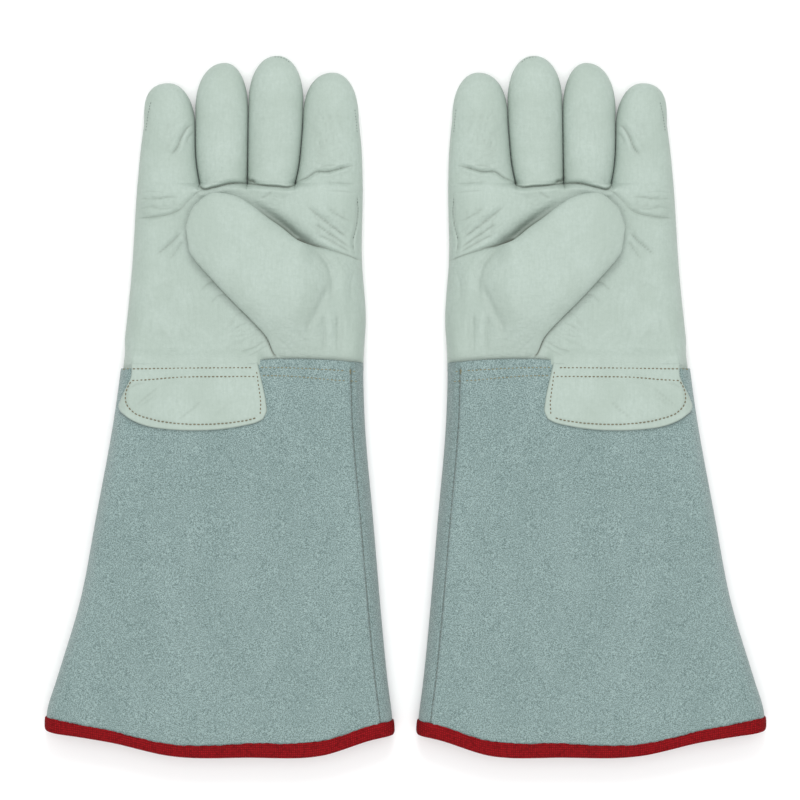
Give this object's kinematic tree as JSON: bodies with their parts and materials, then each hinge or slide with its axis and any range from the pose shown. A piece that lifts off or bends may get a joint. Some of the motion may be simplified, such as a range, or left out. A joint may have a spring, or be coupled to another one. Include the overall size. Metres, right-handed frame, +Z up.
{
  "type": "cryogenic gloves",
  "caption": "Pair of mid-arm cryogenic gauntlet gloves lying palm up: grain leather hands, folded thumbs, flared split-leather cuffs with bound hems and wrist patches.",
  "frame": {"origin": "on the resting surface, midway between the two gloves and midway along them", "axes": "+X to the left-hand glove, which lies on the right as seen, +Y to the fingertips, +Z up, out of the palms"},
  "size_m": [0.461, 0.45, 0.0422],
  "materials": {
    "grain_leather": "pale smooth grain leather, softly wrinkled",
    "split_leather": "blue-grey suede, mottled nap",
    "insulation": "off-white quilted lining",
    "binding": "red woven tape",
    "cuff_thread": "tan sewing thread",
    "patch_thread": "pale sewing thread"
  },
  "bodies": {
    "left_index": {"left_index_front": "grain_leather", "left_index_back": "grain_leather", "left_index_gusset": "grain_leather", "left_index_insulation": "insulation"},
    "left_middle": {"left_middle_front": "grain_leather", "left_middle_back": "grain_leather", "left_middle_gusset": "grain_leather", "left_middle_insulation": "insulation"},
    "left_ring": {"left_ring_front": "grain_leather", "left_ring_back": "grain_leather", "left_ring_gusset": "grain_leather", "left_ring_insulation": "insulation"},
    "left_little": {"left_little_front": "grain_leather", "left_little_back": "grain_leather", "left_little_gusset": "grain_leather", "left_little_insulation": "insulation"},
    "left_thumb": {"left_thumb_outer_panel": "grain_leather", "left_thumb_inner_panel": "grain_leather", "left_thumb_insulation": "insulation"},
    "left_hand": {"left_thumb_base": "grain_leather", "left_palm_panel": "grain_leather", "left_back_panel": "grain_leather", "left_hand_insulation": "insulation"},
    "left_cuff": {"left_cuff_front_panel": "split_leather", "left_cuff_back_panel": "split_leather", "left_cuff_insulation": "insulation", "left_hem_binding": "binding", "left_pulse_patch": "grain_leather", "left_patch_thread": "patch_thread", "left_cuff_thread": "cuff_thread"},
    "right_index": {"right_index_front": "grain_leather", "right_index_back": "grain_leather", "right_index_gusset": "grain_leather", "right_index_insulation": "insulation"},
    "right_middle": {"right_middle_front": "grain_leather", "right_middle_back": "grain_leather", "right_middle_gusset": "grain_leather", "right_middle_insulation": "insulation"},
    "right_ring": {"right_ring_front": "grain_leather", "right_ring_back": "grain_leather", "right_ring_gusset": "grain_leather", "right_ring_insulation": "insulation"},
    "right_little": {"right_little_front": "grain_leather", "right_little_back": "grain_leather", "right_little_gusset": "grain_leather", "right_little_insulation": "insulation"},
    "right_thumb": {"right_thumb_outer_panel": "grain_leather", "right_thumb_inner_panel": "grain_leather", "right_thumb_insulation": "insulation"},
    "right_hand": {"right_thumb_base": "grain_leather", "right_palm_panel": "grain_leather", "right_back_panel": "grain_leather", "right_hand_insulation": "insulation"},
    "right_cuff": {"right_cuff_front_panel": "split_leather", "right_cuff_back_panel": "split_leather", "right_cuff_insulation": "insulation", "right_hem_binding": "binding", "right_pulse_patch": "grain_leather", "right_patch_thread": "patch_thread", "right_cuff_thread": "cuff_thread"}
  },
  "joints": [
    {"name": "left_index_bend", "type": "hinge", "parent": "left_hand", "child": "left_index", "pos_m": [0.047, 0.142, 0.024], "axis": [1, 0, 0], "range_deg": [0, 90], "stiffness_Nm_per_rad": 0.03},
    {"name": "left_middle_bend", "type": "hinge", "parent": "left_hand", "child": "left_middle", "pos_m": [0.08345, 0.142, 0.024], "axis": [1, 0, 0], "range_deg": [0, 90], "stiffness_Nm_per_rad": 0.03},
    {"name": "left_ring_bend", "type": "hinge", "parent": "left_hand", "child": "left_ring", "pos_m": [0.1172, 0.142, 0.024], "axis": [1, 0, 0], "range_deg": [0, 90], "stiffness_Nm_per_rad": 0.03},
    {"name": "left_little_bend", "type": "hinge", "parent": "left_hand", "child": "left_little", "pos_m": [0.1533, 0.142, 0.024], "axis": [1, 0, 0], "range_deg": [0, 90], "stiffness_Nm_per_rad": 0.03},
    {"name": "left_thumb_bend", "type": "hinge", "parent": "left_hand", "child": "left_thumb", "pos_m": [0.0709, 0.0674, 0.0425], "axis": [0.2974, -0.9548, 0], "range_deg": [0, 120], "stiffness_Nm_per_rad": 0.04},
    {"name": "left_wrist_bend", "type": "hinge", "parent": "left_hand", "child": "left_cuff", "pos_m": [0.1048, 0.028, 0.0262], "axis": [-1, 0, 0], "range_deg": [0, 60], "stiffness_Nm_per_rad": 0.2},
    {"name": "right_index_bend", "type": "hinge", "parent": "right_hand", "child": "right_index", "pos_m": [-0.047, 0.142, 0.024], "axis": [1, 0, 0], "range_deg": [0, 90], "stiffness_Nm_per_rad": 0.03},
    {"name": "right_middle_bend", "type": "hinge", "parent": "right_hand", "child": "right_middle", "pos_m": [-0.08345, 0.142, 0.024], "axis": [1, 0, 0], "range_deg": [0, 90], "stiffness_Nm_per_rad": 0.03},
    {"name": "right_ring_bend", "type": "hinge", "parent": "right_hand", "child": "right_ring", "pos_m": [-0.1172, 0.142, 0.024], "axis": [1, 0, 0], "range_deg": [0, 90], "stiffness_Nm_per_rad": 0.03},
    {"name": "right_little_bend", "type": "hinge", "parent": "right_hand", "child": "right_little", "pos_m": [-0.1533, 0.142, 0.024], "axis": [1, 0, 0], "range_deg": [0, 90], "stiffness_Nm_per_rad": 0.03},
    {"name": "right_thumb_bend", "type": "hinge", "parent": "right_hand", "child": "right_thumb", "pos_m": [-0.0709, 0.0674, 0.0425], "axis": [0.2974, 0.9548, 0], "range_deg": [0, 120], "stiffness_Nm_per_rad": 0.04},
    {"name": "right_wrist_bend", "type": "hinge", "parent": "right_hand", "child": "right_cuff", "pos_m": [-0.1048, 0.028, 0.0262], "axis": [-1, 0, 0], "range_deg": [0, 60], "stiffness_Nm_per_rad": 0.2},
    {"name": "pair_spread", "type": "slide", "parent": "left_hand", "child": "right_hand", "axis": [-1, 0, 0], "range_m": [0, 0.3]}
  ]
}
